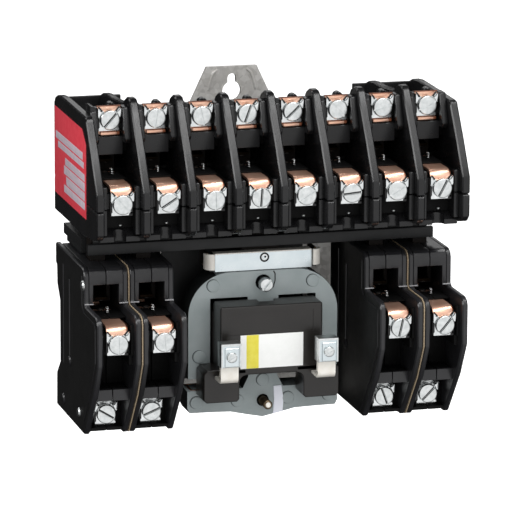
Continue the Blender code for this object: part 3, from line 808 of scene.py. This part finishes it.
# ---------------------------------------------------------------- side modules
MODULE_SIDE = [(0, -70), (0, -53.6), (1.0, -51.6), (3.8, -50.3), (21.7, -50.3), (23.5, -49.2),
               (23.5, -38.4), (24.6, -36.2), (27, -35), (76, -35), (76, -43.4), (74, -44.6),
               (73.6, -52), (68.5, -58), (68.5, -84), (75, -90), (75.5, -104.5), (25.5, -104.5),
               (24, -104), (8.2, -84.5)]
CONTOUR = [(27.2, -103), (26.4, -102), (10.8, -82.6), (3.2, -69.4), (3.2, -55.2), (5.2, -53.4),
           (23.6, -53.2), (26.6, -50.4), (26.6, -38.4)]


def outer_relief(shell, face, s, riveted):
    """Raised lines, bosses and rivets on a case's outward side; s is the side's direction."""
    def out(depth):
        return (face - s * 0.2, face + s * depth)

    shell.slab(ribbon(CONTOUR, 1.0), *out(0.35), "X", 0.15, angle=20)
    shell.box(out(0.5), (49.2, 50.8), (-78, -45), 0.25)
    shell.box(out(0.35), (61, 62), (-83, -41), 0.2)
    domes = [(50, -79.4, 2.2, case_black), (62, -98.5, 2.4, case_black)]
    if riveted:
        domes += [(25.2, -42.2, 2.3, screw_zinc), (33, -97, 2.0, screw_zinc)]
    for y, z, radius, mat in domes:
        dome = [(0, 0), (radius, 0), (radius, s * 0.25), (radius * 0.8, s * 0.8),
                (radius * 0.4, s * 1.05), (0, s * 1.1)]
        shell.turned(dome, at(face - s * 0.05, y, z), "X", 24, mat)


def half_shell(name, x, s, node_name, outward):
    """One half of a module's case, to the side s of the slit at x, with its inner walls."""
    shell = Piece(name, case_black, screw_zinc, shade_black, side_shade_moulding, lip_glint_paint)

    def local(a, b):
        return (x + s * a, x + s * b)

    # inner walls default to the near-black painted-shade plastic
    def inner(y, z, low=0.14, bevel=0.25, mat=shade_black):
        shell.box(local(low, 7), y, z, bevel, mat)

    shell.slab(MODULE_SIDE, x + s * 6.85, x + s * MODULE_HALF, "X", 0.5, segments=1, angle=12)
    band = [(23.5, -41.9), (23.5, -38.2), (24.2, -36.3), (25.4, -35.3), (27, -35), (73, -35),
            (73, -38), (26.5, -38), (26.5, -41.9)]
    top = Piece("top")
    top.slab(band, x + s * 0.14, x + s * 7, "X", 0.3, angle=12)
    finger = Piece("finger")
    finger.box((x - 3.5, x + 3.5), (37.4, 46.6), (-40, -33), 0)
    shell.mesh(cut_mesh(loose(top), loose(finger)))
    inner((23.5, 26.5), (-49.9, -41.5), 5.35, 0.3, case_black)
    shell.box(local(5.35, 9.1), (22.5, 24), (-50.3, -49.3), 0.5, segments=1)
    # painted highlight: a pale strip along the lip in place of its glint
    shell.box(local(5.4, 9.0), (22.4, 23.4), (-49.75, -49.35), 0.1, lip_glint_paint)
    inner((65.5, 68.3), (-102, -37))
    inner((6.7, 12), (-66.8, -58.1))
    inner((11.5, 36), (-60.5, -56.3))
    inner((17.5, 30), (RUN_MODULE + 0.12, RUN_MODULE + 0.8))
    # painted shade on the notch beside the strip and on the floor under it
    shell.box(local(5.7, 7.1), (4.4, 7), (-67.4, -54.6), 0.5, shade_black, segments=3)
    shell.box(local(5.2, 7.1), (6, 24), (-71.5, -67.2), 0.4, shade_black)
    inner((48, 56.5), (-62, -56.3))
    inner((24, 26), (-84.5, -60))
    inner((12.5, 15), (-87.7, -83), bevel=0.4, mat=case_black)
    inner((14.5, 25.5), (-85, -83))
    inner((28.6, 33), (-102, -91.3))
    inner((23.6, 66), (-103, -101.6))
    shell.slab([(x + s * a, z) for a, z in ((0.14, -91.05), (2.2, -91.15), (3.4, -91.7),
                                            (3.2, -92.2), (0.14, -91.7))],
               26.4, 27.1, "Y", 0.15, screw_zinc)
    if outward:
        outer_relief(shell, x + s * MODULE_HALF, s, s < 0 and x < 0)
        shell.bm.normal_update()
        # painted shade: outward side faces take the darker copy of the moulding
        for face in shell.bm.faces:
            if face.material_index == shell.slot_of(case_black) and s * face.normal.x > 0.95:
                face.material_index = shell.slot_of(side_shade_moulding)
    shell.done(replaces=[node_name])


def modules():
    """The half cases, and the insulating sheet inside each pair of modules."""
    for i in range(MODULES):
        module = "module_%d_" % (i + 1)
        x = centre_x(module + "bridge")
        half_shell(module + "left_half_case", x, -1, module + "left_shell", i in (0, 2))
        half_shell(module + "right_half_case", x, 1, module + "right_shell", i in (1, 3))
    for side in ("left", "right"):
        name = "insulating_sheet_" + side
        x = centre_x(name)
        sheet = Piece(name + "_fibre", tan_fibre)
        sheet.slab(MODULE_SIDE, x - 0.2, x + 0.2, "X", 0.05)
        sheet.done(replaces=[name])


# ---------------------------------------------------------------- magnet
def rivets(part, places):
    """Painted-over rivet heads in the front of a stack, each with a dark ring of painted shade set
    off to one side around it.
    """
    head = [(0, -0.5), (2.2, -0.5), (2.45, -0.42), (2.6, -0.2), (2.6, 0.3), (0, 0.3)]
    ring = [(0, -0.03), (2.72, -0.03), (2.72, 0.2), (0, 0.2)]
    for x, z in places:
        part.turned(head, at(x, STACK_Y[0], z), "Y", 40)
        # painted shade: the ring sits off-centre so that it shows as a crescent
        part.turned(ring, at(x - 0.25, STACK_Y[0], z + 0.12), "Y", 40, rivet_shade)


def shade_stack_sides(part):
    """Painted shade on the stacks' sides: every face that looks sideways takes a dark colour."""
    part.bm.normal_update()
    for face in part.bm.faces:
        if abs(face.normal.y) < 0.3 and abs(face.normal.x) > 0.35:
            face.material_index = part.slot_of(stack_side_shade)


def armature():
    """Upper E of laminations, with the dark curl beside its screw."""
    outer = arc(-13.85, -60, 18, 180, 90, 14) + arc(13.85, -60, 18, 90, 0, 14)
    inner = [(31.85, -86.4), (22.4, -86.4), (22.4, -52.8), (6.6, -52.8), (6.6, -67), (-6.6, -67),
             (-6.6, -52.8), (-22.4, -52.8), (-22.4, -86.4), (-31.85, -86.4)]
    stack = Piece("stack")
    stack.slab(outer + inner, *STACK_Y, "Y", 0.35, angle=30)
    part = Piece("armature_laminations", grey_paint, rivet_shade, black, stack_side_shade)
    part.mesh(drilled(stack, ARMATURE_SCREW_Z, 3.3))
    shade_stack_sides(part)
    rivets(part, [(-21.2, -47.4), (21.2, -47.4), (-27.2, -77), (27.2, -77)])
    hook = [(4.6, -42.3), (5.3, -43.6), (5.3, -46.6), (4.5, -49.2), (3.0, -50.6)]
    part.slab(ribbon(hook, 0.5), 33.3, 33.6, "Y", 0.05, black)
    part.done("carrier", ["armature"])


def magnet_core():
    """Lower E with its shading coils and the pale strip, and the stud through it."""
    half = [(6.2, -72), (6.2, -86.4), (8.6, -91.4), (32.2, -91.4), (32.2, -98.6), (31.2, -100.8),
            (21, -100.95), (13.6, -101.2), (6.5, -102.8), (0, -104.1)]
    stack = Piece("stack")
    stack.slab(half + [(-x, z) for x, z in reversed(half[:-1])], *STACK_Y, "Y", 0.35, angle=25)
    part = Piece("core_laminations", grey_paint, rivet_shade, guide_plastic, shade_copper,
                 stack_side_shade)
    part.mesh(drilled(stack, STUD_Z, 2.6))
    shade_stack_sides(part)
    rivets(part, [(-28.3, -96.4), (28.3, -96.4), (-10.8, -96.6), (10.8, -96.6), (0, -88.3)])
    part.slab([(4.5, -91.2), (7.9, -91.0), (8.9, -97), (8.5, -102.1), (4.3, -103.0), (4.8, -97)],
              32.95, 33.6, "Y", 0.2, guide_plastic)
    for s in (-1, 1):
        for z in ((34.6, 35.6), (44.2, 45.2)):
            part.box((s * 24, s * 30.6), z, (-91.9, -91.25), 0.15, shade_copper)
        for x in (24, 29.6):
            part.box((s * x, s * (x + 1)), (34.6, 45.2), (-91.9, -91.25), 0.15, shade_copper)
    part.done(replaces=["magnet_core"])
    stud = Piece("core_stud_turned", bronze, warm_tin)
    tip = at(0, 24.6, STUD_Z)
    thread = [(0, 0), (1.5, 0)]
    for k in range(12):
        thread += [(1.9, k * 0.6 + 0.3), (1.7, k * 0.6 + 0.6)]
    stud.turned(thread + [(1.9, 8), (1.9, 36.1), (0, 36.1)], tip, "Y", 32)
    stud.turned([(0, -0.35), (0.9, -0.3), (1.15, 0), (1.15, 0.4), (0, 0.4)], tip, "Y", 24,
                warm_tin)
    stud.done(replaces=["core_stud"])


def armature_fittings():
    """Sprung clip along the armature's top, and the screw under it."""
    clip = Piece("armature_clip_sprung", blue_zinc, warm_tin, black, screw_zinc, bronze)
    clip.box((-20.6, 20.6), (33, 34.2), (-41.6, -34.3), 0.25)
    clip.box((-20.6, 20.6), (33.1, 37.8), (-34.5, -33.9), 0.25, warm_tin)
    for s in (-1, 1):
        curl = [(s * x, y) for x, y in ((23.6, 36.4), (23.5, 35.2), (23.1, 34.1), (22.4, 33.4),
                                        (21.6, 33.1), (20.8, 33))]
        path = curl if s > 0 else curl[::-1]
        clip.slab(ribbon(path, -1.2), -40.6, -33.9, "Z", 0.2, warm_tin, angle=40)
        clip.box((s * 22.5, s * 23.5), (36.3, 46.9), (-40.4, -34.1), 0.2, bronze)
        # painted shade: black strip in the crease where the plate turns into the curl, and a black
        # block in the notch below it
        clip.box((s * 20.5, s * 20.9), (33.6, 34.2), (-41.2, -34.2), 0.05, black)
        clip.box((s * 20.8, s * 22.6), (33.6, 34.4), (-41.5, -40.4), 0.1, black)
    clip.turned([(1.25, 0.05), (1.45, -0.3), (1.75, -0.35), (2.0, -0.1), (2.0, 0.2), (1.25, 0.2)],
                at(0.4, 33, -36.4), "Y", 32, black)
    clip.turned([(0, 0.02), (1.3, -0.02), (1.3, 0.2), (0, 0.2)], at(0.4, 33, -36.4), "Y", 24,
                screw_zinc)
    clip.turned([(0, -0.1), (0.45, -0.08), (0.5, 0.2), (0, 0.2)], at(0.7, 33, -36.2), "Y", 16,
                black)
    clip.done("carrier", ["armature_clip"])
    screw = Piece("armature_screw_slotted", screw_zinc)
    place_head(screw, small_head, 0, 30.9, ARMATURE_SCREW_Z, 40, screw_zinc)
    screw.turned([(0, 0), (1.9, 0), (1.9, 19), (0, 19)], at(0, 30.8, ARMATURE_SCREW_Z), "Y", 24)
    screw.done("carrier", ["armature_screw"])


# ---------------------------------------------------------------- coil
def coil():
    """Moulded coil with feet and label, and its two tin tabs with box clamps."""
    shell = Piece("shell")
    shell.box((-COIL_HALF, COIL_HALF), (19.5, 32.5), (-82.4, -53.4), 1.1, segments=4)
    recess = Piece("recess")
    recess.box((-17.6, 17.6), (18, 19.75), (-65.3, -56.2), 0)
    relief = [(-3.6, 26.8), (3.6, 26.8), (3.6, 30.5), (7, 30.5), (7, 34), (-7, 34), (-7, 30.5),
              (-3.6, 30.5)]
    recess.slab(relief, -55.2, -50, "Z", 0)
    part = Piece("coil_moulding_body", coil_black, white_film, amber_ink)
    part.mesh(cut_mesh(loose(shell), loose(recess)))
    for s in (-1, 1):
        foot = [(10.4, -79.4), (10.4, -82.4), (12.2, -82.9), (13.2, -84), (13.6, -85.6),
                (13.6, -92.4), (14.6, -93.4), (27.4, -93.4), (28.7, -92.2), (28.7, -81.2),
                (27.2, -79.6), (20, -79.2)]
        part.slab([(s * x, z) for x, z in foot], 19.5, 32.5, "Y", 0.7, segments=3, angle=50)
    part.box((-COIL_HALF, COIL_HALF), (32.6, 33.1), (-84, -57.8), 0.2)
    part.box((-COIL_HALF, COIL_HALF), (47, 60.3), (-84, -57.8), 0.8, segments=3)
    for s in (-1, 1):
        part.box((s * 7.3, s * COIL_HALF), (32.8, 60), (-84, -57.8), 0.8, segments=3)
    part.box((-13.3, 13.3), (19.38, 19.7), (-79.6, -65.5), 0.04, white_film)
    part.box((-10.8, -5.6), (19.34, 19.6), (-79.55, -65.55), 0.02, amber_ink)
    part.done(replaces=["coil"])
    for side in ("left", "right"):
        name = "coil_terminal_" + side
        x = centre_x(name)
        tab = Piece(name + "_clamp", warm_tin, blue_zinc, screw_zinc)
        path = [(9.2, -65.8), (9.2, -80.6)] + arc(11.6, -80.6, 2.4, 180, 270, 5) + [(19.2, -83)]
        tab.slab(ribbon(path, -1.2), x - 3.7, x + 3.7, "X", 0.2, angle=40)
        tab.box((x - 4.0, x + 4.0), (7.3, 13), (-75.6, -65.8), 0.5, blue_zinc, segments=3)
        for s in (-1, 1):
            tab.box((x + s * 3.5, x + s * 4.2), (6.8, 12.9), (-75.7, -66.2), 0.25, screw_zinc)
        tab.box((x - 4.2, x + 4.2), (6.8, 13), (-66.6, -65.6), 0.25, screw_zinc)
        tab.box((x - 2.7, x + 3.2), (6.7, 7.4), (-75.2, -67.4), 0.35, blue_zinc, segments=3)
        place_head(tab, coil_head, x, 6.9, -71, 60, screw_zinc)
        tab.done(replaces=[name])


# ---------------------------------------------------------------- kept CAD nodes
def soften(name, mat, width):
    """A CAD node that shows as it is, with softened edges and a finished material."""
    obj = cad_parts[name]
    obj.data.materials.clear()
    obj.data.materials.append(mat)
    bevel = obj.modifiers.new("soft_edges", "BEVEL")
    bevel.width = width * MM
    bevel.segments = 2
    bevel.limit_method = "ANGLE"
    bevel.angle_limit = math.radians(40)


def plate_ribs():
    """The pressed marks beside the keyhole."""
    ribs = Piece("mounting_plate_ribs", sheet_zinc)
    for s in (-1, 1):
        path = [(s * x, z) for x, z in ((6.6, 33.2), (8.6, 31.6), (9.6, 28.4), (10.6, 24.2))]
        ribs.slab(ribbon(path, 1.0 * s), 84.2, 84.8, "Y", 0.25, angle=20)
    ribs.done()


def return_spring():
    """A wire helix that stands on the frame under the carrier."""
    spring = Piece("return_spring_wire", spring_wire)
    helix(spring, 0, SPRING_Y, *SPRING_Z, 3.2, 0.45, 6, spring_wire, 28, 10)
    coils = spring.done(replaces=["return_spring"])
    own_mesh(coils)


# ---------------------------------------------------------------- studio
def light(name, spot, aim, size, radiance):
    """Rectangular soft light of an even radiance."""
    data = bpy.data.lights.new(name, "AREA")
    data.shape = "RECTANGLE"
    data.size, data.size_y = size
    data.energy = radiance * math.pi * size[0] * size[1]
    obj = bpy.data.objects.new(name, data)
    bpy.context.scene.collection.objects.link(obj)
    obj.location = spot
    obj.rotation_euler = (Vector(aim) - Vector(spot)).to_track_quat("-Z", "Y").to_euler()


def sky():
    """A white wall of light in front that falls away to a dark room at the sides and behind."""
    world = bpy.data.worlds.new("studio")
    bpy.context.scene.world = world
    world.use_nodes = True
    tree = world.node_tree
    split = node(tree, "ShaderNodeSeparateXYZ")
    tree.links.new(node(tree, "ShaderNodeTexCoord").outputs["Generated"], split.inputs[0])
    fall = node(tree, "ShaderNodeMapRange", interpolation_type="SMOOTHSTEP")
    for key, value in (("From Min", -0.15), ("From Max", -0.75), ("To Min", 0.02),
                       ("To Max", 1.0)):
        fall.inputs[key].default_value = value
    tree.links.new(split.outputs["Y"], fall.inputs["Value"])
    tree.links.new(fall.outputs["Result"], tree.nodes["Background"].inputs["Strength"])
    tree.nodes["Background"].inputs["Color"].default_value = (1, 1, 1, 1)


def studio():
    """Lights, and a pale floor that neither shades the object nor shows in it."""
    bpy.context.scene.view_settings.view_transform = "Standard"
    sky()
    mat, _, bsdf = new_material("pale_floor")
    bsdf.inputs["Base Color"].default_value = (0.9, 0.9, 0.9, 1)
    bsdf.inputs["Roughness"].default_value = 0.9
    bsdf.inputs["Emission Color"].default_value = (1, 1, 1, 1)
    bsdf.inputs["Emission Strength"].default_value = 0.75
    bpy.ops.mesh.primitive_plane_add(size=12, location=(0, 0, cad_box[0][2] - 0.12))
    floor = bpy.context.object
    floor.name = "floor"
    floor.data.materials.append(mat)
    floor.visible_glossy = False
    floor.visible_diffuse = False
    floor.visible_shadow = False
    middle = (0, -0.04, 0)
    light("overhead_front", (0.05, -1.27, 1.58), middle, (1.4, 0.9), 2.2)
    light("key_left", (-1.85, -0.35, 0.95), middle, (0.9, 0.7), 8.0)
    light("zenith_strip", (0.55, -0.42, 1.55), middle, (1.9, 0.25), 10.0)
    light("rear_right", (0.5, 1.9, 0.75), middle, (1.6, 0.8), 0.9)
    light("rear_left", (-1.3, 1.5, 1.2), middle, (0.7, 0.7), 3.0)
    light("side_right", (1.85, 0.1, 0.8), middle, (0.6, 0.7), 2.0)


def camera():
    """Long lens from the left and a little above."""
    azimuth, elevation, roll = (math.radians(a) for a in (15.217, 12.862, 0.254))
    target = Vector((-0.00405, FRONT + 0.030, KNEE - 0.03499))
    back = Vector((-math.sin(azimuth) * math.cos(elevation),
                   -math.cos(azimuth) * math.cos(elevation), math.sin(elevation)))
    right = Vector((0, 0, 1)).cross(back).normalized()
    up = back.cross(right)
    right, up = (math.cos(roll) * right + math.sin(roll) * up,
                 math.cos(roll) * up - math.sin(roll) * right)
    data = bpy.data.cameras.new("camera")
    data.sensor_width = 36
    data.lens = 309.15
    data.clip_end = 50
    obj = bpy.data.objects.new("camera", data)
    bpy.context.scene.collection.objects.link(obj)
    turn = Matrix((right, up, back)).transposed().to_4x4()
    obj.matrix_world = Matrix.Translation(target + back * 1.8) @ turn
    bpy.context.scene.camera = obj


block_cover()
block_base()
base_frame()
rating_label()
terminals()
modules()
armature()
magnet_core()
armature_fittings()
coil()
plate_ribs()
return_spring()
soften("mounting_plate", sheet_zinc, 0.35)
# the carrier takes the painted-shade brown
soften("contact_carrier", carrier_brown, 0.3)
studio()
camera()
